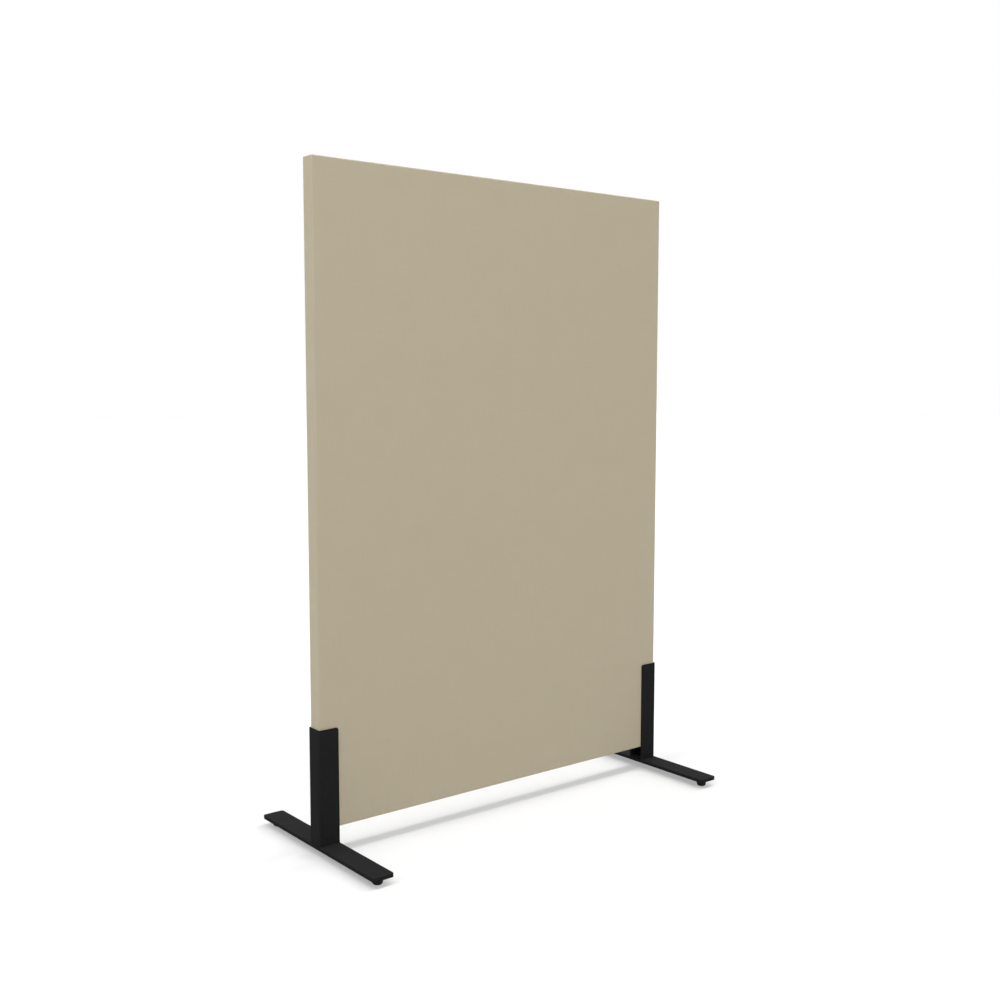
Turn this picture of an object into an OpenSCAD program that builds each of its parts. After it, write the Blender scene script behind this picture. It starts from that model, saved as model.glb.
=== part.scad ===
// Free-standing acoustic screen: an upholstered panel on two T-shaped steel feet.
// X runs along the panel, -Y is the front, Z is up. The origin lies on the floor, under the middle.

/* [Panel] */
// Width of the panel over its cover
panel_w = 1000; // [600:10:1800]
// Height of the panel over its cover
panel_h = 1400; // [900:10:1800]
// Thickness of the panel over its cover
panel_t = 36; // [32:1:60]
// Height of the panel's underside above the floor
panel_gap = 57; // [50:1:100]
// Radius of the panel's soft outer edges
edge_r = 3; // [2:0.5:4]

/* [Upholstery] */
// Thickness of the stretched cover cloth
fabric_t = 1; // [0.6:0.1:1.5]
// Thickness of each felt wadding sheet
wadding_t = 3; // [2:0.5:4]

/* [Timber frame] */
// Width of the rails and stiles, across their face
timber_w = 45; // [40:1:60]
// Gap round each absorber board
board_gap = 0.3; // [0.1:0.1:0.8]
// Length of the screws that hold the frame's corners
wood_screw_l = 80; // [60:5:100]
// Shank diameter of the frame screws
wood_screw_d = 5; // [4:0.5:6]
// Head diameter of the frame screws
wood_head_d = 10; // [8:0.5:12]
// Length of the point of the frame screws
wood_point_l = 8; // [5:1:12]
// Distance between the two screws of a corner
wood_screw_pitch = 18; // [14:1:20]

/* [Closing strip] */
// Distance from the closing strip's end to the foot or the stile
strip_end_gap = 5; // [3:1:20]
// Width of the strip's flat head under the panel
strip_head_w = 14; // [10:1:20]
// Thickness of the strip's flat head
strip_head_t = 1.5; // [1:0.5:2.5]
// Thickness of the strip's stem in the groove
strip_stem_t = 4; // [3:0.5:5]
// Height of the strip's stem in the groove
strip_stem_h = 9; // [6:1:14]
// Play above the stem in the groove
strip_top_gap = 0.5; // [0.2:0.1:0.8]

/* [Foot channel] */
// Height of the folded channel above the base bar
channel_h = 251; // [210:1:400]
// Width of the channel's flanges, from its outer face
channel_w = 48; // [44:1:60]
// Thickness of the folded sheet
sheet_t = 3; // [2:0.5:4]
// Inside radius of the folds
fold_r = 1; // [0.5:0.5:2]
// Radius of the flanges' free upper corners
flange_corner_r = 5; // [2:1:10]
// Gap between the panel and the folded sheet
channel_gap = 0.3; // [0.1:0.1:0.5]

/* [Base bar] */
// Width of the flat bar
bar_w = 50; // [48:1:60]
// Thickness of the flat bar
bar_t = 8; // [7:1:12]
// Length of the flat bar, front to back
bar_l = 460; // [350:10:600]
// Radius of the bar's corners in plan
bar_corner_r = 5; // [2:1:12]
// How far the bar stands out past the channel's outer face
bar_ledge = 2; // [0:0.5:4]

/* [Plates in the foot] */
// Thickness of the seat plate that carries the panel
seat_plate_t = 3; // [2:0.5:5]
// Thickness of the felt pad between seat plate and panel
seat_pad_t = 2; // [1:0.5:3]
// Distance from the plates' inner edge back to the flanges' edge
plate_setback = 4; // [2:1:8]
// Thickness of the foot plate that is screwed to the bar
foot_plate_t = 6; // [5:1:8]
// Size of the plates' clipped corners beside the folds
plate_clip = 3; // [2.5:0.5:4]

/* [Foot screws] */
// Thread diameter of the screws up through the bar
bar_screw_d = 8; // [6:1:8]
// Head diameter of the countersunk bar screws
bar_head_d = 15; // [12:1:16]
// Distance between the two bar screws, front to back
bar_screw_pitch = 20; // [18:1:20]
// How far the bar screws stand above the foot plate
bar_screw_proud = 2; // [1:0.5:4]
// Thread diameter of the screws in the rear flange
channel_screw_d = 6; // [5:1:8]
// Head diameter of the domed channel screws
channel_head_d = 10.5; // [9.5:0.5:14]
// Head height of the domed channel screws
channel_head_h = 3.3; // [2.5:0.1:4]
// Height of the lower channel screw above the bottom rail
screw_rise = 5; // [2:1:20]
// Distance of the upper channel screw below the channel's top
screw_drop = 40; // [20:1:60]
// Outside diameter of the threaded inserts
insert_d = 10; // [9:0.5:12]
// Length of the threaded inserts
insert_l = 13; // [10:1:16]
// Wood left open behind each insert
insert_relief = 2; // [1:0.5:4]
// How far a channel screw stops short of its insert's end
screw_setback = 1; // [0.5:0.5:3]
// Width of the hexagon sockets in the channel screws, over flats
socket_w = 4; // [3:0.5:4]
// Depth of the hexagon sockets in the channel screws
socket_depth = 2; // [1:0.5:2.5]

/* [Glides] */
// Height of the bar's underside above the floor, glides screwed home
glide_h = 15; // [15:1:20]
// Diameter of a glide's wide upper rim
glide_d = 25; // [22:0.5:30]
// Diameter of a glide's narrow lower end
glide_foot_d = 21; // [20:0.5:22]
// Distance of a glide's centre from the bar's end
glide_inset = 23.5; // [20:0.5:60]
// Height of the straight upper rim
rim_h = 3; // [2:0.5:5]
// Size of the rim's and foot's small chamfers
glide_chamfer = 0.8; // [0.4:0.1:1]
// Thread diameter of the glide's stud
stud_d = 8; // [6:0.5:9]
// Diameter of the stud's turning head inside the glide
stud_head_d = 12; // [11:0.5:14]
// Height of the stud's turning head
stud_head_h = 4; // [3:0.5:5]
// Steel left above the stud's blind hole in the bar
blind_wall = 2; // [1.5:0.5:3]
// Gap above the stud's tip in the blind hole
stud_tip_gap = 0.5; // [0.2:0.1:1]
// Thickness of the rubber sole
sole_t = 2.5; // [2:0.5:3]
// How far the sole stands below the glide
sole_proud = 1; // [0.5:0.5:1.5]
// Diameter of the sole
sole_d = 18; // [16:0.5:18.5]
// Diameter of the key hole through sole and floor
key_hole_d = 5.6; // [5.2:0.2:7]
// Thickness of the glide's floor under the stud head
glide_floor_t = 2; // [1.5:0.5:2.5]
// Thickness of the snap lip over the stud head
lip_t = 2; // [1:0.5:2.5]
// Width by which the snap lip holds the stud head
lip_hold = 0.8; // [0.5:0.1:1]
// Width of the hexagon socket in the stud's head, over flats
stud_socket_w = 4; // [3:0.5:4.4]
// Depth of the hexagon socket in the stud's head
stud_socket_depth = 2.5; // [1.5:0.5:2.5]

/* [Fits] */
// Radial running clearance of threads in their holes
thread_fit = 0.05; // [0.02:0.01:0.1]
// Radial clearance of screws that pass through plates
pass_fit = 0.3; // [0.2:0.1:0.5]
// Clearance of the turning stud head in its pocket
head_fit = 0.1; // [0.05:0.01:0.1]
// Gap between the glide's rim and the bar when screwed home
glide_gap = 0.3; // [0.2:0.1:0.5]

/* [Hidden] */
$fn = 64;
// Sides of a hexagon socket
HEX = 6;
// Length by which cuts run past what they cut
overrun = 5;

cloth_colour = [0.69, 0.65, 0.56];
felt_colour = [0.86, 0.85, 0.82];
seat_felt_colour = [0.20, 0.20, 0.21];
board_colour = [0.62, 0.68, 0.60];
timber_colour = [0.83, 0.70, 0.50];
steel_colour = [0.16, 0.16, 0.17];
black_screw_colour = [0.10, 0.10, 0.11];
zinc_colour = [0.72, 0.73, 0.75];
brass_colour = [0.78, 0.63, 0.32];
nylon_colour = [0.11, 0.11, 0.12];
rubber_colour = [0.07, 0.07, 0.07];

// The two sides and the two ends, as signs along X and along Y
LEFT = -1;
RIGHT = 1;
FRONT = -1;
BACK = 1;

// Panel: the cover's outside, the space inside it, and the timber frame's thickness
inner_w = panel_w - 2 * fabric_t;
inner_t = panel_t - 2 * fabric_t;
inner_z = panel_gap + fabric_t;
inner_h = panel_h - 2 * fabric_t;
frame_t = inner_t - 2 * wadding_t;
cavity_r = min(edge_r - fabric_t, wadding_t);
wadding_r = min(edge_r, wadding_t);
// The cover's corners in the front view stay outside the timber's sharp corners
corner_r = min(edge_r, 3 * fabric_t);

// Frame: stiles run the full height, rails fit between them
rail_l = inner_w - 2 * timber_w;
stile_x = inner_w / 2 - timber_w / 2;
bottom_rail_z = inner_z + timber_w / 2;
top_rail_z = inner_z + inner_h - timber_w / 2;
middle_rail_z = (bottom_rail_z + top_rail_z) / 2;
board_h = middle_rail_z - bottom_rail_z - timber_w - 2 * board_gap;

// Foot: levels from the floor up, and the channel's faces on the right-hand side
bar_top = glide_h + bar_t;
foot_plate_top = bar_top + foot_plate_t;
seat_top = panel_gap - seat_pad_t;
channel_top = bar_top + channel_h;
web_inside = panel_w / 2 + channel_gap;
web_outside = web_inside + sheet_t;
flange_edge = web_outside - channel_w;
channel_in_d = panel_t + 2 * channel_gap;
channel_out_d = channel_in_d + 2 * sheet_t;
plate_edge = flange_edge + plate_setback;
bar_x = web_outside + bar_ledge - bar_w / 2;
glide_y = bar_l / 2 - glide_inset;

// Closing strip: it stops clear of both feet, and the cloth is turned up beside its stem
strip_l = min(2 * flange_edge, rail_l) - 2 * strip_end_gap;
groove_w = strip_stem_t + 2 * fabric_t;
groove_h = strip_stem_h + strip_top_gap;

// Height of each pair of frame screws; the lowest pair sits in the wood above the groove
wood_screw_heights = [(inner_z + timber_w + inner_z + groove_h) / 2, middle_rail_z, top_rail_z];

// Channel screws: two heights, and their length from the flange's outer face
screw_heights = [bottom_rail_z + timber_w / 2 + screw_rise, channel_top - screw_drop];
flange_outside = channel_out_d / 2;
insert_mouth = frame_t / 2;
insert_end = insert_mouth - insert_l;
channel_screw_l = flange_outside - insert_end - screw_setback;
channel_hole_r = channel_screw_d / 2 + pass_fit;

// Stud and glide: levels from the floor up
pad_base = sole_proud;
floor_base = sole_t;
floor_top = floor_base + glide_floor_t;
stud_head_top = floor_top + stud_head_h;
pocket_top = stud_head_top + head_fit;
pad_top = glide_h - glide_gap;
blind_depth = bar_t - blind_wall;
stud_tip = glide_h + blind_depth - stud_tip_gap;

// Puts a right-hand piece on one side of the screen
module on_side(side) {
    mirror([side == LEFT ? 1 : 0, 0, 0]) children();
}

// Rectangle w wide and d deep round the origin, with rounded corners
module rounded_rectangle(w, d, r) {
    square([w - 2 * r, d], center = true);
    square([w, d - 2 * r], center = true);
    for (sx = [-1, 1], sy = [-1, 1])
        translate([sx * (w / 2 - r), sy * (d / 2 - r)]) circle(r);
}

// Rectangle from x0 to x1, d deep, whose two corners at x1 are rounded as a fold
module folded_rectangle(x0, x1, d, r) {
    translate([x0, -d / 2]) square([x1 - r - x0, d]);
    translate([x0, r - d / 2]) square([x1 - x0, d - 2 * r]);
    for (sy = [-1, 1])
        translate([x1 - r, sy * (d / 2 - r)]) circle(r);
}

// Upright slab standing on z = 0 whose edges along the height and the width are rounded
module soft_slab(w, t, h, r) {
    intersection() {
        linear_extrude(h) rounded_rectangle(w, t, r);
        translate([-w / 2, 0, h / 2]) rotate([90, 0, 90]) linear_extrude(w) rounded_rectangle(t, h, r);
    }
}

// The same slab with its four corners rounded in the front view too
module soft_cornered_slab(w, t, h, r, front_r) {
    intersection() {
        soft_slab(w, t, h, r);
        translate([0, t / 2, h / 2]) rotate([90, 0, 0]) linear_extrude(t) rounded_rectangle(w, h, front_r);
    }
}

// Round bar that runs along -Y from the given depth
module rod_to_front(x, y, z, r, l) {
    translate([x, y, z]) rotate([90, 0, 0]) cylinder(r = r, h = l);
}

// Hexagonal prism, w over its flats
module hexagon(w, h) {
    cylinder(d = w / cos(180 / HEX), h = h, $fn = HEX);
}

// Passages for the channel screws on both sides, from the rear flange's outside inwards
module channel_screw_holes(depth) {
    for (side = [LEFT, RIGHT], z = screw_heights)
        rod_to_front(side * stile_x, flange_outside + overrun, z, channel_hole_r, overrun + depth);
}

// Stretched cloth: faces, ends, top and underside, with its hems turned up into the bottom groove
module fabric_cover() {
    color(cloth_colour) {
        difference() {
            translate([0, 0, panel_gap]) soft_cornered_slab(panel_w, panel_t, panel_h, edge_r, corner_r);
            translate([0, 0, inner_z]) soft_slab(inner_w, inner_t, inner_h, cavity_r);
            translate([-strip_l / 2, -strip_stem_t / 2, panel_gap - overrun])
                cube([strip_l, strip_stem_t, 2 * overrun]);
            channel_screw_holes(flange_outside - inner_t / 2 + fabric_t);
        }
        for (sy = [FRONT, BACK])
            translate([-strip_l / 2, sy * (groove_w - fabric_t) / 2 - fabric_t / 2, panel_gap])
                cube([strip_l, fabric_t, fabric_t + strip_stem_h]);
    }
}

// Felt sheet on one face of the frame, between timber and cloth
module wadding(face) {
    color(felt_colour) difference() {
        intersection() {
            translate([0, 0, inner_z]) soft_cornered_slab(inner_w, inner_t, inner_h, wadding_r, wadding_r);
            translate([-panel_w / 2, face == FRONT ? -inner_t / 2 : frame_t / 2, panel_gap])
                cube([panel_w, wadding_t, panel_h]);
        }
        channel_screw_holes(flange_outside - frame_t / 2 + fabric_t);
    }
}

// Sound-absorbing board in the upper or the lower bay of the frame
module absorber(z) {
    w = rail_l - 2 * board_gap;
    color(board_colour) translate([-w / 2, -frame_t / 2, z]) cube([w, frame_t, board_h]);
}

// One frame screw, its head flush in the right stile's outer edge, pointing to the middle
module wood_screw(r_extra) {
    head_h = (wood_head_d - wood_screw_d) / 2;
    translate([inner_w / 2, 0, 0]) rotate([0, -90, 0]) {
        cylinder(r1 = wood_head_d / 2 + r_extra, r2 = wood_screw_d / 2 + r_extra, h = head_h);
        cylinder(r = wood_screw_d / 2 + r_extra, h = wood_screw_l - wood_point_l);
        translate([0, 0, wood_screw_l - wood_point_l])
            cylinder(r1 = wood_screw_d / 2 + r_extra, r2 = r_extra, h = wood_point_l + r_extra);
    }
}

// Every frame screw: two at each end of the three rails
module wood_screws(r_extra) {
    for (side = [LEFT, RIGHT], z = wood_screw_heights, s = [-1, 1])
        on_side(side) translate([0, 0, z + s * wood_screw_pitch / 2]) wood_screw(r_extra);
}

// Horizontal timber of the frame, with its centre at height z
module rail(z) {
    difference() {
        translate([0, 0, z]) cube([rail_l, frame_t, timber_w], center = true);
        wood_screws(thread_fit);
    }
}

module top_rail() {
    color(timber_colour) rail(top_rail_z);
}

module middle_rail() {
    color(timber_colour) rail(middle_rail_z);
}

// The bottom rail carries the groove that grips the cloth's hems and the closing strip
module bottom_rail() {
    color(timber_colour) difference() {
        rail(bottom_rail_z);
        translate([-strip_l / 2, -groove_w / 2, panel_gap]) cube([strip_l, groove_w, fabric_t + groove_h]);
    }
}

// Upright timber at one end, drilled for the corner screws and bored for the threaded inserts
module stile(side) {
    color(timber_colour) difference() {
        translate([side * stile_x, 0, inner_z + inner_h / 2])
            cube([timber_w, frame_t, inner_h], center = true);
        wood_screws(thread_fit);
        for (z = screw_heights)
            rod_to_front(side * stile_x, insert_mouth + overrun, z, insert_d / 2 + thread_fit,
                overrun + insert_l + insert_relief);
    }
}

module frame_screws() {
    color(zinc_colour) wood_screws(0);
}

// Plastic T-strip pressed up into the groove, closing the panel's underside
module closing_strip() {
    color(nylon_colour) {
        translate([-strip_l / 2, -strip_head_w / 2, panel_gap - strip_head_t])
            cube([strip_l, strip_head_w, strip_head_t]);
        translate([-strip_l / 2, -strip_stem_t / 2, panel_gap - strip_head_t])
            cube([strip_l, strip_stem_t, strip_head_t + fabric_t + strip_stem_h]);
    }
}

// Threaded inserts in the back of one stile
module inserts(side) {
    color(brass_colour) for (z = screw_heights)
        difference() {
            rod_to_front(side * stile_x, insert_mouth, z, insert_d / 2, insert_l);
            rod_to_front(side * stile_x, insert_mouth + overrun, z, channel_screw_d / 2 + thread_fit,
                insert_l + 2 * overrun);
        }
}

// Front view of the right-hand channel: a rectangle with the flanges' upper free corner rounded
module flange_outline() {
    r = flange_corner_r;
    translate([flange_edge, bar_top]) square([channel_w, channel_h - r]);
    translate([flange_edge + r, bar_top]) square([channel_w - r, channel_h]);
    translate([flange_edge + r, channel_top - r]) circle(r);
}

// Folded steel channel that holds the panel's lower corner on three sides
module channel(side) {
    color(steel_colour) difference() {
        on_side(side) intersection() {
            translate([0, 0, bar_top]) linear_extrude(channel_h) difference() {
                folded_rectangle(flange_edge, web_outside, channel_out_d, fold_r + sheet_t);
                folded_rectangle(flange_edge - overrun, web_inside, channel_in_d, fold_r);
            }
            translate([0, channel_out_d / 2, 0]) rotate([90, 0, 0]) linear_extrude(channel_out_d)
                flange_outline();
        }
        channel_screw_holes(sheet_t + overrun);
    }
}

// Domed screw through the rear flange into an insert, with a hexagon socket
module channel_screw(x, z) {
    dome_r = (pow(channel_head_d / 2, 2) + pow(channel_head_h, 2)) / (2 * channel_head_h);
    translate([x, flange_outside, z]) rotate([-90, 0, 0]) difference() {
        union() {
            intersection() {
                translate([0, 0, channel_head_h - dome_r]) sphere(dome_r);
                cylinder(d = channel_head_d + overrun, h = channel_head_h + overrun);
            }
            translate([0, 0, -channel_screw_l])
                cylinder(d = channel_screw_d, h = channel_screw_l + channel_head_h / 2);
        }
        translate([0, 0, channel_head_h - socket_depth]) hexagon(socket_w, socket_depth + overrun);
    }
}

module channel_screws(side) {
    color(black_screw_colour) for (z = screw_heights)
        channel_screw(side * stile_x, z);
}

// Plan of the plates between the flanges, clipped beside the folds
module plate_plan() {
    half = channel_in_d / 2;
    polygon([
        [plate_edge, -half],
        [web_inside - plate_clip, -half],
        [web_inside, plate_clip - half],
        [web_inside, half - plate_clip],
        [web_inside - plate_clip, half],
        [plate_edge, half]
    ]);
}

// Plate welded across the channel, on which the panel stands
module seat_plate(side) {
    color(steel_colour) on_side(side)
        translate([0, 0, seat_top - seat_plate_t]) linear_extrude(seat_plate_t) plate_plan();
}

// Felt pad glued on the seat plate
module seat_pad(side) {
    color(seat_felt_colour) on_side(side)
        translate([0, 0, seat_top]) linear_extrude(seat_pad_t) plate_plan();
}

// Places of the two bar screws on the right-hand side
module at_bar_screws() {
    for (sy = [FRONT, BACK])
        translate([(plate_edge + web_inside) / 2, sy * bar_screw_pitch / 2, 0]) children();
}

// Plate welded in the channel's lower end, tapped for the bar screws
module foot_plate(side) {
    color(steel_colour) on_side(side) difference() {
        translate([0, 0, bar_top]) linear_extrude(foot_plate_t) plate_plan();
        at_bar_screws() translate([0, 0, bar_top - overrun])
            cylinder(r = bar_screw_d / 2 + thread_fit, h = foot_plate_t + 2 * overrun);
    }
}

// Countersunk screw up through the bar, or its passage when widened
module bar_screw(r_extra, top) {
    head_h = (bar_head_d - bar_screw_d) / 2;
    shank_r = bar_screw_d / 2 + r_extra;
    translate([0, 0, glide_h]) {
        cylinder(r1 = bar_head_d / 2 + r_extra, r2 = shank_r, h = head_h);
        cylinder(r = shank_r, h = top - glide_h);
    }
}

module bar_screws(side) {
    color(black_screw_colour) on_side(side) at_bar_screws() difference() {
        bar_screw(0, foot_plate_top + bar_screw_proud);
        translate([0, 0, glide_h - overrun]) hexagon(socket_w, overrun + socket_depth);
    }
}

// Flat steel bar on the floor side, with countersunk holes and blind holes for the glide studs
module base_bar(side) {
    color(steel_colour) on_side(side) difference() {
        translate([bar_x, 0, glide_h]) linear_extrude(bar_t) rounded_rectangle(bar_w, bar_l, bar_corner_r);
        at_bar_screws() bar_screw(pass_fit, bar_top + overrun);
        for (sy = [FRONT, BACK])
            translate([bar_x, sy * glide_y, glide_h - overrun])
                cylinder(r = stud_d / 2 + thread_fit, h = overrun + blind_depth);
    }
}

// Place of one glide, as signs for its side and its end
module at_glide(side, end) {
    translate([side * bar_x, end * glide_y, 0]) children();
}

// Threaded stud with a round head that turns in the glide, and a socket for a key from below
module glide_stud(side, end) {
    color(zinc_colour) at_glide(side, end) difference() {
        union() {
            translate([0, 0, floor_top]) cylinder(d = stud_head_d, h = stud_head_h);
            translate([0, 0, floor_top]) cylinder(d = stud_d, h = stud_tip - floor_top);
        }
        translate([0, 0, floor_top - overrun]) hexagon(stud_socket_w, overrun + stud_socket_depth);
    }
}

// Tapered nylon glide: a pocket and snap lip for the stud's head, a recess for the sole below
module glide_pad(side, end) {
    foot_r = glide_foot_d / 2;
    rim_r = glide_d / 2;
    pocket_r = stud_head_d / 2 + head_fit;
    lip_r = stud_head_d / 2 - lip_hold;
    color(nylon_colour) at_glide(side, end) rotate_extrude() polygon([
        [key_hole_d / 2, floor_base],
        [sole_d / 2 + thread_fit, floor_base],
        [sole_d / 2 + thread_fit, pad_base],
        [foot_r - glide_chamfer, pad_base],
        [foot_r, pad_base + glide_chamfer],
        [rim_r, pad_top - rim_h],
        [rim_r, pad_top - glide_chamfer],
        [rim_r - glide_chamfer, pad_top],
        [pocket_r + lip_t, pad_top],
        [pocket_r + lip_t, pocket_top + lip_t],
        [lip_r, pocket_top + lip_t],
        [lip_r, pocket_top],
        [pocket_r, pocket_top],
        [pocket_r, floor_top],
        [key_hole_d / 2, floor_top]
    ]);
}

// Rubber disc that stands on the floor
module glide_sole(side, end) {
    color(rubber_colour) at_glide(side, end) difference() {
        cylinder(d = sole_d, h = sole_t);
        translate([0, 0, -overrun]) cylinder(d = key_hole_d, h = sole_t + 2 * overrun);
    }
}

fabric_cover();
wadding(FRONT);  // front_wadding
wadding(BACK);  // back_wadding
absorber(middle_rail_z + timber_w / 2 + board_gap);  // upper_absorber
absorber(bottom_rail_z + timber_w / 2 + board_gap);  // lower_absorber
top_rail();
middle_rail();
bottom_rail();
stile(LEFT);  // left_stile
stile(RIGHT);  // right_stile
frame_screws();
closing_strip();
inserts(LEFT);  // left_inserts
channel(LEFT);  // left_channel
channel_screws(LEFT);  // left_channel_screws
seat_pad(LEFT);  // left_seat_pad
seat_plate(LEFT);  // left_seat_plate
foot_plate(LEFT);  // left_foot_plate
base_bar(LEFT);  // left_base_bar
bar_screws(LEFT);  // left_bar_screws
inserts(RIGHT);  // right_inserts
channel(RIGHT);  // right_channel
channel_screws(RIGHT);  // right_channel_screws
seat_pad(RIGHT);  // right_seat_pad
seat_plate(RIGHT);  // right_seat_plate
foot_plate(RIGHT);  // right_foot_plate
base_bar(RIGHT);  // right_base_bar
bar_screws(RIGHT);  // right_bar_screws
glide_stud(LEFT, FRONT);  // front_left_glide_stud
glide_pad(LEFT, FRONT);  // front_left_glide_pad
glide_sole(LEFT, FRONT);  // front_left_glide_sole
glide_stud(RIGHT, FRONT);  // front_right_glide_stud
glide_pad(RIGHT, FRONT);  // front_right_glide_pad
glide_sole(RIGHT, FRONT);  // front_right_glide_sole
glide_stud(LEFT, BACK);  // back_left_glide_stud
glide_pad(LEFT, BACK);  // back_left_glide_pad
glide_sole(LEFT, BACK);  // back_left_glide_sole
glide_stud(RIGHT, BACK);  // back_right_glide_stud
glide_pad(RIGHT, BACK);  // back_right_glide_pad
glide_sole(RIGHT, BACK);  // back_right_glide_sole
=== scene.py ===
# %% [markdown]
# # A free-standing acoustic screen
#
# The object is a flat panel in stretched cloth that stands on two black steel feet. Each foot is a folded channel
# screwed to a flat bar, and each bar stands on two levelling glides. The steel, the screws and the timber come ready
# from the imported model, exact to the millimetre. This lesson dresses them: it lights a small studio, makes the soft
# pieces as soft pieces, gives each real finish its own material, and takes the hard look off the metal edges.

import math

import bmesh
import bpy
from mathutils import Matrix, Vector


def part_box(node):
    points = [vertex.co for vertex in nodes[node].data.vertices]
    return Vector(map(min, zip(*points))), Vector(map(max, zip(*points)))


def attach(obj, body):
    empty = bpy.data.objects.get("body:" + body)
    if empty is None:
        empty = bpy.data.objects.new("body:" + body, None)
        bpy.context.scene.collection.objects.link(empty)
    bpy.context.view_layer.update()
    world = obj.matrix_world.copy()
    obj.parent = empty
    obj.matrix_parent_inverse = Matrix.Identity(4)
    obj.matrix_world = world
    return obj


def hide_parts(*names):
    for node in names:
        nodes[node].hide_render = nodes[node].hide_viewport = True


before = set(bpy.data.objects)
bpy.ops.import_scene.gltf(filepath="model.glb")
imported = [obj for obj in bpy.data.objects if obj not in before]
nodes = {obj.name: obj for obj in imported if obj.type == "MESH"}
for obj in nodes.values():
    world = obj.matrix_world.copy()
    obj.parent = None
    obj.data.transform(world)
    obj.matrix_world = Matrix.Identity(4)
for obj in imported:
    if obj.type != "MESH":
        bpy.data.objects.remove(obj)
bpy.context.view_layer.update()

# %% [markdown]
# ## The camera
#
# A photograph holds its camera in its straight edges. The panel's upper and lower edges run together towards a point
# on the right, which gives the distance and the turn, and the bars show how high the lens was. The camera stands on
# the left in front of the screen, about as high as its middle, and looks slightly down. The lens and the place below
# were solved from those edges. A camera that is turned by three plain angles is easier to read than one that tracks
# an empty, so the turn is built as azimuth, tilt and roll.

# %% Camera
SENSOR = 36  # millimetres, as Blender gives lenses and sensors
LENS = 1.21157 * SENSOR
CAMERA_PLACE = (-1.7578, -2.1910, 1.0011)
view_azimuth, view_tilt, view_roll = map(math.radians, (-38.735, 5.530, -0.046))

camera_data = bpy.data.cameras.new("photo_camera")
camera_data.sensor_width = SENSOR
camera_data.lens = LENS
camera = bpy.data.objects.new("photo_camera", camera_data)
camera.matrix_world = (
    Matrix.Translation(CAMERA_PLACE)
    @ Matrix.Rotation(view_azimuth, 4, "Z")
    @ Matrix.Rotation(math.pi / 2 - view_tilt, 4, "X")
    @ Matrix.Rotation(-view_roll, 4, "Z")
)
bpy.context.scene.collection.objects.link(camera)
bpy.context.scene.camera = camera
bpy.context.scene.view_settings.view_transform = "Standard"
print("lens", round(camera_data.lens, 2), "mm")

# %% [markdown]
# ## Two small helpers
#
# Colours are given as sRGB hex values, but the renderer counts in linear light, so one function turns the one
# into the other. A second one adds a node, sets it and links it, which keeps each material short enough to read.
#
# A node's sockets go by name or by number. On a Map Range node 0 is the value, 1 and 2 are the range that it comes
# from, and 3 and 4 the range that it goes to. On a Mix node 0 is the factor. Numbers to mix are 2 and 3, colours to
# mix are 6 and 7, and the mixed colour is output 2.

# %% Colours and nodes
def colour(code):
    """Linear colour of an sRGB hex value."""
    channels = [int(code[i : i + 2], 16) / 255 for i in (1, 3, 5)]
    return [c / 12.92 if c <= 0.04045 else ((c + 0.055) / 1.055) ** 2.4 for c in channels] + [1.0]


def add(tree, kind, sockets=None, **settings):
    """A new shader node. A value in sockets is a plain value, or the output of another node, which is linked."""
    node = tree.nodes.new("ShaderNode" + kind)
    for name, value in settings.items():
        setattr(node, name, value)
    for name, value in (sockets or {}).items():
        if isinstance(value, bpy.types.NodeSocket):
            tree.links.new(value, node.inputs[name])
        else:
            node.inputs[name].default_value = value
    return node


print("#B1A791 is", [round(c, 3) for c in colour("#B1A791")])

# %% [markdown]
# ## Studio light
#
# The photograph has a plain white setting with soft light from everywhere above: the panel's faces are even, the bars
# are lighter on top, and the shadows are soft and stay close to the object. A light dome does that best. It is a world
# whose strength changes with the direction: X points to the right, Y to the back and Z straight up, each from -1 to 1.
# It is an even glow with two additions, a bright band and soft walls. In the end the three are added up.
#
# Rays come to the dome in two ways. Those that carry light to the object get the glow, the band and the walls. Those
# that the camera sends out, straight or by way of a mirror or glass, see plain white. The Light Path node tells them
# apart, here and later on the floor.

# %% Rays that see the setting
def seen_directly(tree):
    """1 for a ray that sees the setting, straight, in a mirror or through glass, and 0 for one that carries light."""
    rays = add(tree, "LightPath")
    seen = add(tree, "Math", {0: rays.outputs["Is Camera Ray"], 1: rays.outputs["Is Glossy Ray"]}, operation="ADD")
    seen = add(
        tree, "Math", {0: seen.outputs[0], 1: rays.outputs["Is Transmission Ray"]}, operation="ADD", use_clamp=True
    )
    return seen.outputs[0]


# %% [markdown]
# The dome's nodes start from the direction. How far it points out of the panel's plane counts the same to the front
# and to the back, so the sign of Y is dropped.

# %% Dome
dome = bpy.data.worlds.new("studio_dome")
dome.use_nodes = True
bpy.context.scene.world = dome
tree = dome.node_tree
direction = add(tree, "SeparateXYZ", {0: add(tree, "TexCoord").outputs["Generated"]})
aside = add(tree, "Math", {0: direction.outputs["Y"]}, operation="ABSOLUTE")
print("the dome starts from", [node.bl_label for node in tree.nodes])

# %% [markdown]
# The bright band runs from left to right over the panel, in the panel's own plane. So it lights the floor on both
# sides alike, and leaves only a narrow shadow under the panel. It is brighter on the right, which gives the left foot
# its broad shadow on the outer side.

# %% Bright band
BAND_LIGHT = 11.7
BAND_FULL, BAND_END = 0.022, 0.104  # sideways from the panel's plane
BAND_FOOT, BAND_RISEN = 0.15, 0.20  # upwards from the horizon
BAND_LEAN = 0.49  # what the right end has more, and the left end less

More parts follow.
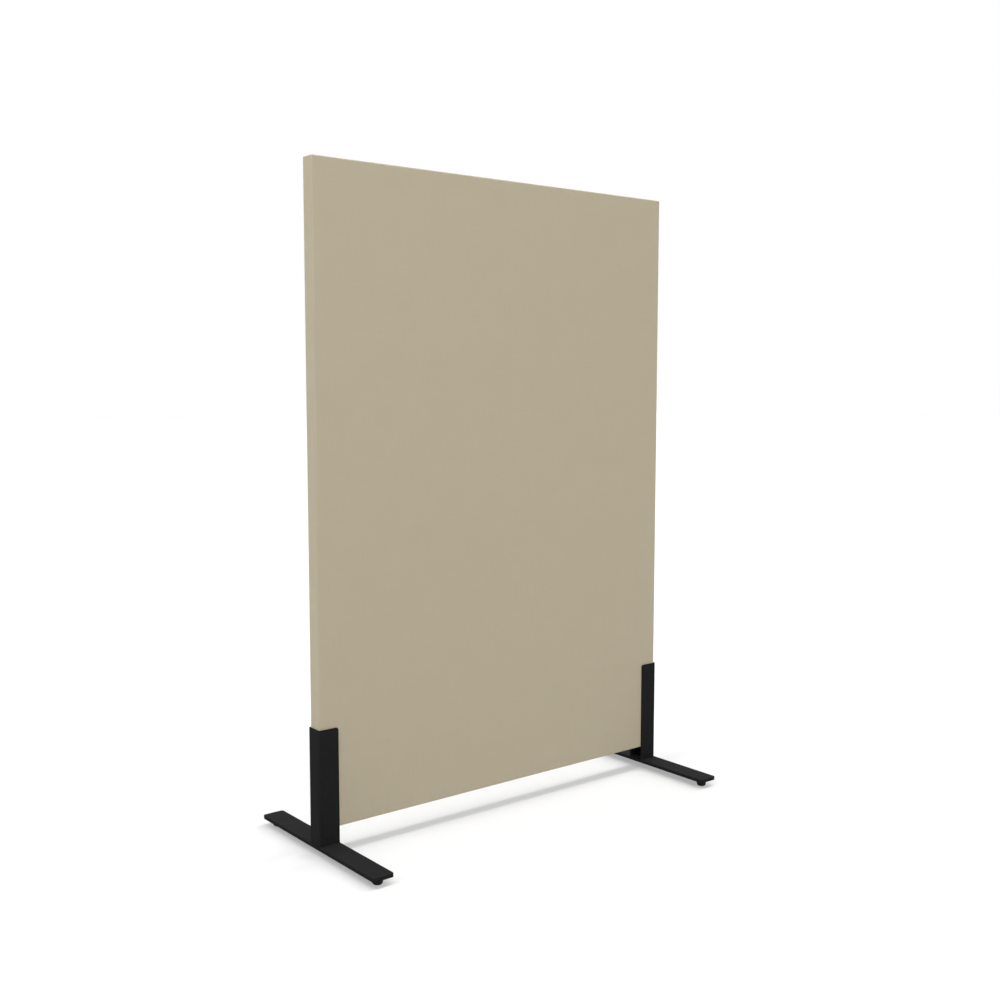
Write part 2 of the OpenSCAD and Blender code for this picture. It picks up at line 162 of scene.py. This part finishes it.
band = add(
    tree, "MapRange", {0: aside.outputs[0], 1: BAND_END, 2: BAND_FULL, 3: 0.0, 4: 1.0},
    interpolation_type="SMOOTHSTEP",
)
above = add(
    tree, "MapRange", {0: direction.outputs["Z"], 1: BAND_FOOT, 2: BAND_RISEN, 3: 0.0, 4: 1.0},
    interpolation_type="SMOOTHSTEP",
)
lean = add(tree, "Math", {0: direction.outputs["X"], 1: BAND_LEAN, 2: 1.0}, operation="MULTIPLY_ADD")
glow = add(tree, "Math", {0: band.outputs[0], 1: above.outputs[0]}, operation="MULTIPLY")
glow = add(tree, "Math", {0: glow.outputs[0], 1: lean.outputs[0]}, operation="MULTIPLY")

# %% [markdown]
# The other addition is soft light from the front and the back, as white walls would give it. It fades out towards the
# sides and towards the horizon.

# %% Soft walls, and the dome's strength
EVEN_LIGHT = 0.51
WALL_LIGHT = 0.6
WALL_SIDE, WALL_FULL = 0.6, 0.8  # from the sides towards the front or the back
WALL_RISEN = 0.2  # upwards from the horizon

walls = add(
    tree, "MapRange", {0: aside.outputs[0], 1: WALL_SIDE, 2: WALL_FULL, 3: 0.0, 4: WALL_LIGHT},
    interpolation_type="SMOOTHSTEP",
)
risen = add(
    tree, "MapRange", {0: direction.outputs["Z"], 1: 0.0, 2: WALL_RISEN, 3: 0.0, 4: 1.0},
    interpolation_type="SMOOTHSTEP",
)
even = add(tree, "Math", {0: walls.outputs[0], 1: risen.outputs[0], 2: EVEN_LIGHT}, operation="MULTIPLY_ADD")
soft_light = add(tree, "Math", {0: glow.outputs[0], 1: BAND_LIGHT, 2: even.outputs[0]}, operation="MULTIPLY_ADD")
strength = add(tree, "Mix", {0: seen_directly(tree), 2: soft_light.outputs[0], 3: 1.0})
background = tree.nodes["Background"]
background.inputs["Color"].default_value = (1, 1, 1, 1)
tree.links.new(strength.outputs[0], background.inputs["Strength"])
print("the dome is", EVEN_LIGHT, "all round, and up to", round(BAND_LIGHT * (1 + BAND_LEAN), 1), "in the band")

# %% [markdown]
# Three large soft lamps do the rest. One stands in front of the panel and higher than its top. It brings the front up
# to the level at which a colour renders as it is written, and fades gently towards the floor, as in the photograph. A
# weak one hangs near the left end and makes that end lighter towards its top. The third stands behind, so that the
# back isn't dull when the camera goes round. It lights nothing that the photograph shows.

# %% Softboxes
BOX_WIDTH, BOX_HEIGHT = 2.0, 1.6
AIM = Vector((0, 0, 0.75))  # close to the middle of the panel


def softbox(name, place, watts):
    lamp = bpy.data.lights.new(name, "AREA")
    lamp.shape = "RECTANGLE"
    lamp.size, lamp.size_y = BOX_WIDTH, BOX_HEIGHT
    lamp.energy = watts
    box = bpy.data.objects.new(name, lamp)
    box.location = place
    box.rotation_euler = (AIM - box.location).to_track_quat("-Z", "Y").to_euler()
    bpy.context.scene.collection.objects.link(box)


softbox("front_softbox", (-0.35, -3.9, 2.15), 36)
softbox("rear_softbox", (-1.4, 4.1, 2.3), 36)
softbox("end_softbox", (-1.4, -0.6, 2.4), 5.5)
print("softboxes:", [(lamp.name, round(lamp.energy, 1)) for lamp in bpy.data.lights])

# %% [markdown]
# ## Floor
#
# The floor is a wide pale sheet. It takes the object's shadow as any floor does, and a little white light of its own,
# which only the camera and glossy surfaces see, lifts the open floor to the white of the setting. This light grows a
# little with the distance from the screen: the shadows at the feet keep their depth, and the far floor meets the
# white background without a line.
#
# In the photograph the panel's narrow shadow ends at the left foot. Here it would run on past the foot as a thin
# streak, so the light is retouched: it is a little stronger in line with the panel there.

# %% Floor paint
FLOOR_GREY = 0.46
NEAR, FAR = 0.52, 1.0  # metres from the middle of the screen
NEAR_LIFT, FAR_LIFT = 0.285, 0.39
STREAK_HALF, STREAK_LIFT = 0.042, 0.165  # half the streak's width, and the light along its middle
FOOT_SIDE, PAST_FOOT = -0.515, -0.545  # where the retouched part starts, and where it has its full light


def matt_floor_paint():
    paint = bpy.data.materials.new("matt_white_floor_paint")
    paint.use_nodes = True
    tree = paint.node_tree
    shader = tree.nodes["Principled BSDF"]
    shader.inputs["Base Color"].default_value = (FLOOR_GREY, FLOOR_GREY, FLOOR_GREY, 1)
    shader.inputs["Roughness"].default_value = 1
    shader.inputs["Specular IOR Level"].default_value = 0
    shader.inputs["Emission Color"].default_value = (1, 1, 1, 1)
    place = add(tree, "TexCoord").outputs["Object"]
    distance = add(tree, "VectorMath", {0: place}, operation="LENGTH")
    whiten = add(
        tree, "MapRange", {0: distance.outputs["Value"], 1: NEAR, 2: FAR, 3: NEAR_LIFT, 4: FAR_LIFT},
        interpolation_type="SMOOTHSTEP",
    )
    spot = add(tree, "SeparateXYZ", {0: place})
    off_line = add(tree, "Math", {0: spot.outputs["Y"]}, operation="ABSOLUTE")
    in_line = add(
        tree, "MapRange", {0: off_line.outputs[0], 1: STREAK_HALF, 2: 0.0, 3: 0.0, 4: STREAK_LIFT},
        interpolation_type="SMOOTHSTEP",
    )
    beyond = add(tree, "MapRange", {0: spot.outputs["X"], 1: FOOT_SIDE, 2: PAST_FOOT, 3: 0.0, 4: 1.0})
    retouched = add(
        tree, "Math", {0: in_line.outputs[0], 1: beyond.outputs[0], 2: whiten.outputs[0]}, operation="MULTIPLY_ADD"
    )
    lift = add(tree, "Math", {0: seen_directly(tree), 1: retouched.outputs[0]}, operation="MULTIPLY")
    tree.links.new(lift.outputs[0], shader.inputs["Emission Strength"])
    return paint


# %% [markdown]
# The sheet is so wide that its edge is never seen. It belongs to the stage, which isn't part of the object.

# %% Floor sheet
FLOOR_REACH = 30

bm = bmesh.new()
bmesh.ops.create_grid(bm, x_segments=1, y_segments=1, size=FLOOR_REACH)
mesh = bpy.data.meshes.new("studio_floor")
bm.to_mesh(mesh)
bm.free()
mesh.materials.append(matt_floor_paint())
floor = bpy.data.objects.new("studio_floor", mesh)
bpy.context.scene.collection.objects.link(floor)
print("the floor is", round(floor.dimensions.x), "metres wide")


# %% [markdown]
# ## Starting a material
#
# Every finish here is a Principled shader. What is the same all over the surface is set on the shader's own sockets,
# and nodes are only used for what changes from place to place.

# %% A finish to start from
def new_finish(name, base, roughness, **sockets):
    """A Principled material. Underscores in the names of sockets stand for spaces."""
    material = bpy.data.materials.new(name)
    material.use_nodes = True
    shader = material.node_tree.nodes["Principled BSDF"]
    shader.inputs["Base Color"].default_value = base
    shader.inputs["Roughness"].default_value = roughness
    for socket, value in sockets.items():
        shader.inputs[socket.replace("_", " ")].default_value = value
    print("finish:", name)
    return material, material.node_tree, shader


# %% [markdown]
# ## Cover cloth
#
# The panel wears a plain-woven wool blend in a beige grey. Its yarns are about 1.2 mm apart, half a pixel in the
# picture, so they are drawn twice as coarse: as fine as the picture can hold, and faint, because from where the
# photograph was taken the cloth looks smooth. The yarns were mixed before spinning, which leaves thin streaks of a
# lighter or a darker thread as long as a finger, and a soft cloudiness over a hand's breadth. Loose fibres stand off
# the surface and catch light at a grazing angle, which is the sheen. The pattern follows the cloth's own UV map, laid
# out in metres.

# %% Woven wool cloth
MM = 0.001
WOOL = colour("#B1A791")
YARN = 2.4 * MM
STREAK = 60 * MM
CLOUDS = 14.0  # clouds in a metre, so one is about 70 mm across


def woven_wool_cloth():
    material, tree, shader = new_finish(
        "woven_wool_cloth", WOOL, 0.92, Specular_IOR_Level=0.15, Sheen_Weight=0.12, Sheen_Roughness=0.5
    )
    lie = add(tree, "UVMap", uv_map="cloth")
    at = add(tree, "SeparateXYZ", {0: lie.outputs[0]})
    waves = []
    for axis in ("X", "Y"):
        turn = add(tree, "Math", {0: at.outputs[axis], 1: math.pi / YARN}, operation="MULTIPLY")
        waves.append(add(tree, "Math", {0: turn.outputs[0]}, operation="SINE"))
    across, along = (add(tree, "Math", {0: w.outputs[0]}, operation="ABSOLUTE") for w in waves)
    crossing = add(tree, "Math", {0: waves[0].outputs[0], 1: waves[1].outputs[0]}, operation="MULTIPLY")
    warp_on_top = add(tree, "Math", {0: crossing.outputs[0], 1: 0.0}, operation="GREATER_THAN")
    yarns = []
    for round_way, long_way in ((across, along), (along, across)):
        ends = add(tree, "Math", {0: long_way.outputs[0], 1: 0.4}, operation="POWER")
        yarns.append(add(tree, "Math", {0: round_way.outputs[0], 1: ends.outputs[0]}, operation="MULTIPLY"))
    height = add(tree, "Mix", {0: warp_on_top.outputs[0], 2: yarns[1].outputs[0], 3: yarns[0].outputs[0]})

    # Streaks of mixed yarn, one yarn wide, with one set along each way of the weave
    streaks = []
    for size in ((1 / STREAK, 1 / YARN, 0), (1 / YARN, 1 / STREAK, 0)):
        stretched = add(tree, "Mapping", {"Vector": lie.outputs[0], "Scale": size})
        streaks.append(add(tree, "TexNoise", {"Vector": stretched.outputs[0], "Scale": 1.0, "Detail": 2.0}))
    streak = add(tree, "Mix", {0: warp_on_top.outputs[0], 2: streaks[0].outputs[0], 3: streaks[1].outputs[0]})
    clouds = add(tree, "TexNoise", {"Vector": lie.outputs[0], "Scale": CLOUDS, "Detail": 3.0})

    # The tone is near 1: streaks, clouds and the shade between the yarns move it by a few hundredths
    tone = add(tree, "MapRange", {0: streak.outputs[0], 1: 0.3, 2: 0.7, 3: 0.975, 4: 1.025})
    cloudy = add(tree, "MapRange", {0: clouds.outputs[0], 1: 0.3, 2: 0.7, 3: 0.992, 4: 1.008})
    shade = add(tree, "MapRange", {0: height.outputs[0], 1: 0.0, 2: 0.6, 3: 0.965, 4: 1.006})
    tone = add(tree, "Math", {0: tone.outputs[0], 1: cloudy.outputs[0]}, operation="MULTIPLY")
    tone = add(tree, "Math", {0: tone.outputs[0], 1: shade.outputs[0]}, operation="MULTIPLY")
    grey = add(tree, "CombineColor", {0: tone.outputs[0], 1: tone.outputs[0], 2: tone.outputs[0]})
    dyed = add(tree, "Mix", {0: 1.0, 6: WOOL, 7: grey.outputs[0]}, data_type="RGBA", blend_type="MULTIPLY")
    tree.links.new(dyed.outputs[2], shader.inputs["Base Color"])
    relief = add(tree, "Bump", {"Strength": 0.5, "Distance": 0.15 * MM, "Height": height.outputs[0]})
    tree.links.new(relief.outputs[0], shader.inputs["Normal"])
    return material


cover_cloth = woven_wool_cloth()

# %% [markdown]
# ## Black steel
#
# The feet are steel with a fine-grained black powder coat: the powder melts into a skin that is matt and slightly
# pebbled, with grains of about half a millimetre. Grains scatter what a smooth paint would mirror, so the shine is
# lower than a plain paint's. They are drawn about four times as coarse, so that they show at all. The tops of the
# grains are painted a little lighter, a painted highlight where the pebbles would catch the light.

# %% Powder coat
GRAIN = 1.8 * MM
FILM = 22.0  # patches of duller or shinier film in a metre, so one is about 45 mm across


def black_powder_coat():
    material, tree, shader = new_finish("black_powder_coat", colour("#1F1F20"), 0.6, Specular_IOR_Level=0.01)
    place = add(tree, "TexCoord").outputs["Object"]
    grain = add(tree, "TexNoise", {"Vector": place, "Scale": 1 / GRAIN, "Detail": 2.0})
    film = add(tree, "TexNoise", {"Vector": place, "Scale": FILM, "Detail": 2.0})
    matt = add(tree, "MapRange", {0: film.outputs[0], 1: 0.3, 2: 0.7, 3: 0.55, 4: 0.65})
    tree.links.new(matt.outputs[0], shader.inputs["Roughness"])
    # The colour goes from #1C1C1D in the hollows to #242425 on the grain tops: a painted highlight where the pebbles
    # would catch the light.
    grain_tops_lit = add(tree, "MapRange", {0: grain.outputs[0], 1: 0.35, 2: 0.65, 3: 0.0, 4: 1.0})
    painted_grain_highlight = add(tree, "Mix", {0: grain_tops_lit.outputs[0], 6: colour("#1C1C1D"), 7: colour("#242425")}, data_type="RGBA")
    tree.links.new(painted_grain_highlight.outputs[2], shader.inputs["Base Color"])
    relief = add(tree, "Bump", {"Strength": 0.25, "Distance": 0.1 * MM, "Height": grain.outputs[0]})
    tree.links.new(relief.outputs[0], shader.inputs["Normal"])
    return material


powder_coat = black_powder_coat()


# %% [markdown]
# ## Small metal
#
# Zinc plate is bright and slightly blue, with a faint cloudiness from the bath. The hidden frame screws and the studs
# of the glides have it. The screws that can be seen, at the back of the channels and under the bars, are steel with a
# thin black finish that still shines through a little. The inserts in the timber are turned brass. All three are
# metals, so their colour is the colour of what they mirror.

# %% Zinc plate, blackened steel and turned brass
BATH = 180.0  # clouds in a metre, so one is 5 or 6 mm across


def plated(name, light, dark, roughness, spread, metallic=1.0, **sockets):
    """A plated or blackened metal whose tone and shine drift a little over the surface."""
    material, tree, shader = new_finish(name, light, roughness, Metallic=metallic, **sockets)
    place = add(tree, "TexCoord")
    bath = add(tree, "TexNoise", {"Vector": place.outputs["Object"], "Scale": BATH, "Detail": 3.0})
    tint = add(tree, "Mix", {0: bath.outputs[0], 6: dark, 7: light}, data_type="RGBA")
    shine = add(
        tree, "MapRange", {0: bath.outputs[0], 1: 0.3, 2: 0.7, 3: roughness - spread, 4: roughness + spread}
    )
    tree.links.new(tint.outputs[2], shader.inputs["Base Color"])
    tree.links.new(shine.outputs[0], shader.inputs["Roughness"])
    return material


zinc_plate = plated("bright_zinc_plate", colour("#D9DBDE"), colour("#C4C8CD"), 0.3, 0.06)
black_steel = plated("blackened_steel", colour("#262627"), colour("#1C1C1D"), 0.42, 0.05, metallic=0.6)
turned_brass = plated("turned_brass", colour("#DCC27A"), colour("#C9AC62"), 0.28, 0.05)


# %% [markdown]
# ## Moulded nylon, rubber and the plastic strip
#
# The glides are black nylon from a spark-eroded mould, which leaves a fine even grain. Their soles are soft black
# rubber, duller and a bit dusty. The closing strip is extruded, so its faint lines run along its length.

# %% Plastics and rubber
def moulded(name, base, roughness, grain_size, depth, stretch=(1, 1, 1), **sockets):
    """A black plastic or rubber with a fine grain, which stretch can draw out into lines."""
    material, tree, shader = new_finish(name, base, roughness, **sockets)
    place = add(tree, "TexCoord")
    stretched = add(tree, "Mapping", {"Vector": place.outputs["Object"], "Scale": stretch})
    grain = add(tree, "TexNoise", {"Vector": stretched.outputs[0], "Scale": 1 / grain_size, "Detail": 2.0})
    matt = add(
        tree, "MapRange", {0: grain.outputs[0], 1: 0.3, 2: 0.7, 3: roughness - 0.04, 4: roughness + 0.04}
    )
    tree.links.new(matt.outputs[0], shader.inputs["Roughness"])
    relief = add(tree, "Bump", {"Strength": 0.4, "Distance": depth, "Height": grain.outputs[0]})
    tree.links.new(relief.outputs[0], shader.inputs["Normal"])
    return material


glide_nylon = moulded("moulded_black_nylon", colour("#1A1A1B"), 0.5, 0.9 * MM, 0.04 * MM, Specular_IOR_Level=0.12)
sole_rubber = moulded("moulded_black_rubber", colour("#171717"), 0.8, 1.2 * MM, 0.05 * MM, Specular_IOR_Level=0.2)
strip_plastic = moulded(
    "extruded_black_plastic", colour("#1B1B1C"), 0.45, 2.5 * MM, 0.05 * MM, (0.02, 1, 1), Specular_IOR_Level=0.25
)


# %% [markdown]
# ## Timber
#
# The hidden frame is planed spruce. Its grain runs along each piece, as streaks of pale early wood and darker late
# wood a few millimetres apart, which drift a little because no tree is straight. The same wood is used upright in
# the stiles and level in the rails, so the function takes the way that the grain runs.

# %% Planed spruce
ALONG_GRAIN = 0.04  # draws a pattern out 25 times along the grain
DRIFT = 26.0  # slow changes in a metre across the grain
RINGS = 34.0  # radians of the ring wave in such a change, so five or six rings
FIBRES = 900.0  # in a metre


def planed_spruce(name, along):
    material, tree, shader = new_finish(name, colour("#DDC59A"), 0.62, Specular_IOR_Level=0.35)
    place = add(tree, "TexCoord")
    squeeze = [1.0, 1.0, 1.0]
    squeeze[along] = ALONG_GRAIN
    stretched = add(tree, "Mapping", {"Vector": place.outputs["Object"], "Scale": squeeze})
    drift = add(tree, "TexNoise", {"Vector": stretched.outputs[0], "Scale": DRIFT, "Detail": 2.0})
    rings = add(tree, "Math", {0: drift.outputs[0], 1: RINGS}, operation="MULTIPLY")
    rings = add(tree, "Math", {0: rings.outputs[0]}, operation="SINE")
    fibre = add(tree, "TexNoise", {"Vector": stretched.outputs[0], "Scale": FIBRES, "Detail": 2.0})
    late = add(
        tree, "MapRange", {0: rings.outputs[0], 1: -0.2, 2: 1.0, 3: 0.0, 4: 0.8}, interpolation_type="SMOOTHSTEP"
    )
    tint = add(tree, "Mix", {0: late.outputs[0], 6: colour("#E2CCA2"), 7: colour("#C79F66")}, data_type="RGBA")
    tree.links.new(tint.outputs[2], shader.inputs["Base Color"])
    relief = add(tree, "Bump", {"Strength": 0.3, "Distance": 0.1 * MM, "Height": fibre.outputs[0]})
    tree.links.new(relief.outputs[0], shader.inputs["Normal"])
    return material


upright_spruce = planed_spruce("planed_spruce_upright", 2)
level_spruce = planed_spruce("planed_spruce_level", 0)


# %% [markdown]
# ## Felts
#
# Three felts do three jobs. White polyester wadding lies between the timber and the cloth and keeps the edges soft.
# Grey-green board, pressed from recycled fibres, fills the bays and soaks up sound. Dark needle felt pads the seat
# plates. All are tangled fibre, so they share one recipe: a tangle for the relief, flecks for the colour.

# %% Felt and board
def tangled_fibre(name, base, fleck, tangle, fleck_size, share):
    material, tree, shader = new_finish(name, base, 0.95, Specular_IOR_Level=0.1, Sheen_Weight=0.2)
    place = add(tree, "TexCoord").outputs["Object"]
    mess = add(tree, "TexNoise", {"Vector": place, "Scale": 1 / tangle, "Detail": 4.0, "Distortion": 2.5})
    spots = add(tree, "TexNoise", {"Vector": place, "Scale": 1 / fleck_size, "Detail": 3.0})
    where = add(tree, "MapRange", {0: spots.outputs[0], 1: 0.5, 2: 0.66, 3: 0.0, 4: share})
    tint = add(tree, "Mix", {0: where.outputs[0], 6: base, 7: fleck}, data_type="RGBA")
    tree.links.new(tint.outputs[2], shader.inputs["Base Color"])
    relief = add(tree, "Bump", {"Strength": 0.6, "Distance": 0.4 * MM, "Height": mess.outputs[0]})
    tree.links.new(relief.outputs[0], shader.inputs["Normal"])
    return material


wadding_felt = tangled_fibre("needled_white_wadding", colour("#E8E6E0"), colour("#D2CFC6"), 6 * MM, 14 * MM, 0.7)
absorber_board = tangled_fibre("pressed_fibre_board", colour("#A3AC9E"), colour("#6E7A74"), 5 * MM, 9 * MM, 0.8)
seat_felt = tangled_fibre("dark_needle_felt", colour("#38383A"), colour("#54545A"), 2.5 * MM, 4 * MM, 0.6)


# %% [markdown]
# ## Putting a piece in the scene
#
# A bmesh is only a workbench. One function turns it into an object at the origin, so that its place is in its mesh,
# gives it its material, and ties it to the screen's main body.

# %% From workbench to scene
def into_scene(bm, name, material, slot_name, *replaced):
    mesh = bpy.data.meshes.new(name)
    bm.to_mesh(mesh)
    bm.free()
    mesh.materials.append(material)
    piece = bpy.data.objects.new(name, mesh)
    bpy.context.scene.collection.objects.link(piece)
    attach(piece, "root")
    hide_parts(*replaced)
    print(name, "has", len(mesh.polygons), "faces and stands for", *replaced)
    return piece


def block(lowest, highest):
    """A workbench with one block between two corners."""
    bm = bmesh.new()
    bmesh.ops.create_cube(bm, size=1)
    bmesh.ops.scale(bm, vec=highest - lowest, verts=bm.verts)
    bmesh.ops.translate(bm, vec=(highest + lowest) / 2, verts=bm.verts)
    return bm


def soften(bm, edges, radius, segments=4):
    """Rounds edges with a bevel."""
    bmesh.ops.bevel(
        bm, geom=list(edges), offset=radius, offset_type="OFFSET", segments=segments, profile=0.5,
        affect="EDGES", clamp_overlap=True, material=-1,
    )


# %% [markdown]
# ## The cover
#
# The cover is one cloth drawn tight round the panel: up the front, over the top and down the back, with its hems
# tucked up into a groove under the panel. It is modelled from the outside in. A block gets soft edges of 3 mm. The
# underside is inset until its middle is as narrow as the groove, and that strip is pushed up and opened, which leaves
# the two hems. The seams that close the sleeve run down both upright rear edges: the middle of the rounding is split
# by a small bevel and sunk, so that it draws in a fine line. Last, Solidify gives the cloth its thickness, inwards, so
# the outside stays the size of the panel.

# %% Sleeve with soft edges
CLOTH = 1.0 * MM
EDGE = 3.0 * MM
ROUNDING = 6  # an even number of segments leaves an edge in the middle of the rounding, for the seam

panel_low, panel_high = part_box("fabric_cover")
sleeve = block(panel_low, panel_high)
soften(sleeve, sleeve.edges, EDGE, ROUNDING)
for face in sleeve.faces:
    face.smooth = True
print("the sleeve measures", [round(v * 1000, 1) for v in panel_high - panel_low], "mm")

# %% [markdown]
# The strip that closes the groove tells how long the slot is. Insetting each large flat face by a hair
# first keeps its shading flat, because the rounding's smooth normals then end within that hair.

# %% Slot and hems
STEM = 4 * MM
HEM = 9 * MM
HAIR = 0.8 * MM  # the width of the strip that takes up the change in shading
BROAD = 0.02  # square metres: every flat face of the sleeve is larger, and every other face is smaller


def flat_faces(bm):
    return [f for f in bm.faces if max(abs(n) for n in f.normal) > 0.9999 and f.calc_area() > BROAD]


bmesh.ops.inset_individual(sleeve, faces=flat_faces(sleeve), thickness=HAIR, depth=0)
strip_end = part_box("closing_strip")[1].x
underside = min(flat_faces(sleeve), key=lambda f: f.calc_center_median().z)
half_depth = max(abs(v.co.y) for v in underside.verts)
bmesh.ops.inset_individual(sleeve, faces=[underside], thickness=half_depth - STEM / 2, depth=0)
for vert in underside.verts:
    vert.co.x = math.copysign(strip_end, vert.co.x)
hem = bmesh.ops.extrude_face_region(sleeve, geom=[underside])
raised = [v for v in hem["geom"] if isinstance(v, bmesh.types.BMVert)]
bmesh.ops.translate(sleeve, vec=(0, 0, HEM), verts=raised)
opened = [f for f in hem["geom"] if isinstance(f, bmesh.types.BMFace)]
slot_ends = [f for v in raised for f in v.link_faces if abs(f.normal.x) > 0.99 and f.calc_area() < STEM * HEM * 1.1]
bmesh.ops.delete(sleeve, geom=list({*opened, *slot_ends}), context="FACES_ONLY")
print(len(sleeve.faces), "faces, with a slot", round(2 * strip_end * 1000), "mm long")

# %% [markdown]
# The seam's edges are the ones that lie halfway round the rounding of the two upright rear edges. The groove's own
# edges are marked sharp, because cloth that is drawn in by a thread creases and doesn't roll over.

# %% Seam
SEAM_HALF = 0.7 * MM
SEAM_DEPTH = 0.5 * MM
CLOSE = 0.05 * MM  # as good as equal


def on_rear_edge(edge):
    middle = (edge.verts[0].co + edge.verts[1].co) / 2
    upright = abs((edge.verts[0].co - edge.verts[1].co).normalized().z) > 0.99
    out_x, out_y = panel_high.x - abs(middle.x), panel_high.y - middle.y
    return upright and out_x < EDGE and out_y < EDGE and abs(out_x - out_y) < CLOSE


seam = [e for e in sleeve.edges if on_rear_edge(e)]
split = bmesh.ops.bevel(
    sleeve, geom=seam, offset=SEAM_HALF, offset_type="OFFSET", segments=2, profile=0.5, affect="EDGES",
    clamp_overlap=True, material=-1,
)
for vert in {v for f in split["faces"] for v in f.verts}:
    out_x, out_y = panel_high.x - abs(vert.co.x), panel_high.y - vert.co.y
    if abs(out_x - out_y) < CLOSE and panel_low.z + EDGE < vert.co.z < panel_high.z - EDGE + 0.1 * MM:
        vert.co.x -= math.copysign(SEAM_DEPTH, vert.co.x) * math.sqrt(0.5)
        vert.co.y -= SEAM_DEPTH * math.sqrt(0.5)
for edge in {e for f in split["faces"] for e in f.edges}:
    edge.smooth = False
print(len(seam), "seam edges;", len(sleeve.faces), "faces")

# %% [markdown]
# The UV map lays the cloth out flat, in metres. Across the front it is simply x and z. Round an upright edge the
# depth is added to x, and over the top it is added to z, so the yarns run on without a break from face to face.
#
# The real cloth is cut 1.092 m wide, for the front, both ends and the seams, and 2.894 m long, for the front, the top,
# the back, the underside and the hems. The back is narrower, so less than the full rectangle is used.

# %% Laying the cloth flat
lay = sleeve.loops.layers.uv.new("cloth")
for face in sleeve.faces:
    n = face.normal
    on_end = abs(n.x) > max(abs(n.y), abs(n.z))
    for loop in face.loops:
        x, y, z = loop.vert.co
        depth = y - panel_low.y
        if on_end:
            u, v = x + math.copysign(depth, n.x), z
        elif abs(n.z) > abs(n.y):
            u, v = x, z + math.copysign(depth, n.z)
        elif n.y > 0:
            u, v = x, 2 * panel_high.z + panel_high.y - panel_low.y - z
        else:
            u, v = x, z
        loop[lay].uv = (u, v)

cover = into_scene(sleeve, "stretched_cover", cover_cloth, "cover_cloth", "fabric_cover")
wall = cover.modifiers.new("cloth_thickness", "SOLIDIFY")
wall.thickness = CLOTH
wall.offset = -1
wall.use_even_offset = True


# %% [markdown]
# ## Wadding, boards and pads
#
# These are cut from flat stock, so each is a block with the small radius that fibre takes when it is cut. Wadding is
# a sheet that is laid on, the boards and pads are pressed solid.

# %% Wadding
SHEET_EDGE = 1.2 * MM

for node, face in (("front_wadding", "front"), ("back_wadding", "back")):
    sheet_low, sheet_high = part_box(node)
    bm = block(sheet_low, sheet_high)
    outer = [e for e in bm.edges if all(abs(v.co.y) > 0.5 * abs(sheet_high.y + sheet_low.y) for v in e.verts)]
    soften(bm, outer, SHEET_EDGE, 3)
    for f in bm.faces:
        f.smooth = f.calc_area() < BROAD
    piece = into_scene(bm, f"{face}_felt_sheet", wadding_felt, "wadding_felt", node)

# %% Absorber boards
BOARD_EDGE = 1.0 * MM

for node in ("upper_absorber", "lower_absorber"):
    board_low, board_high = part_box(node)
    bm = block(board_low, board_high)
    soften(bm, bm.edges, BOARD_EDGE, 3)
    piece = into_scene(bm, node.replace("absorber", "fibre_board"), absorber_board, "absorber_board", node)

# %% Seat pads
CLIPPED = 3 * MM
PAD_EDGE = 0.5 * MM

for side in ("left", "right"):
    pad_low, pad_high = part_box(f"{side}_seat_pad")
    bm = block(pad_low, pad_high)
    outer_x = pad_low.x if side == "left" else pad_high.x
    corners = [e for e in bm.edges if all(abs(v.co.x - outer_x) < 0.1 * MM for v in e.verts)]
    corners = [e for e in corners if abs(e.verts[0].co.z - e.verts[1].co.z) > 1 * MM]
    soften(bm, corners, CLIPPED, 1)
    rims = [e for e in bm.edges if abs(e.verts[0].co.z - e.verts[1].co.z) < 0.1 * MM]
    soften(bm, rims, PAD_EDGE, 3)
    piece = into_scene(bm, f"{side}_felt_pad", seat_felt, "seat_felt", f"{side}_seat_pad")

# %% [markdown]
# ## Dressing the steel and the rest
#
# The remaining pieces keep their exact shapes and only get their finishes. Laser-cut steel is never knife-sharp under
# a powder coat, because the film pulls back into a small radius. Weld joins the model's loose triangles, and a fine
# bevel with hardened normals gives each sharp edge the thin line of light that makes it look solid.

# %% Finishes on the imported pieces
finishes = {
    "_channel": powder_coat, "_base_bar": powder_coat, "_seat_plate": powder_coat, "_foot_plate": powder_coat,
    "_channel_screws": black_steel, "_bar_screws": black_steel, "frame_screws": zinc_plate, "_glide_stud": zinc_plate,
    "_inserts": turned_brass, "_glide_pad": glide_nylon, "_glide_sole": sole_rubber, "closing_strip": strip_plastic,
    "_stile": upright_spruce, "_rail": level_spruce,
}
dressed = []
for name, piece in nodes.items():
    for ending, finish in finishes.items():
        if name.endswith(ending):
            for material_slot in piece.material_slots:
                material_slot.material = finish
            dressed.append(name)
print(len(dressed), "packed pieces dressed; without a finish:", [n for n in nodes if n not in dressed])


# %% Softened steel edges
FILM_RADIUS = 0.5 * MM


def soften_steel(piece):
    weld = piece.modifiers.new("weld", "WELD")
    weld.merge_threshold = 0.001 * MM
    film = piece.modifiers.new("film_radius", "BEVEL")
    film.width = FILM_RADIUS
    film.segments = 3
    film.limit_method = "ANGLE"
    film.angle_limit = math.radians(40)
    film.harden_normals = True


for side in ("left", "right"):
    for part in ("channel", "base_bar"):
        soften_steel(nodes[f"{side}_{part}"])
print("the channels and bars have a film radius of", FILM_RADIUS / MM, "mm")
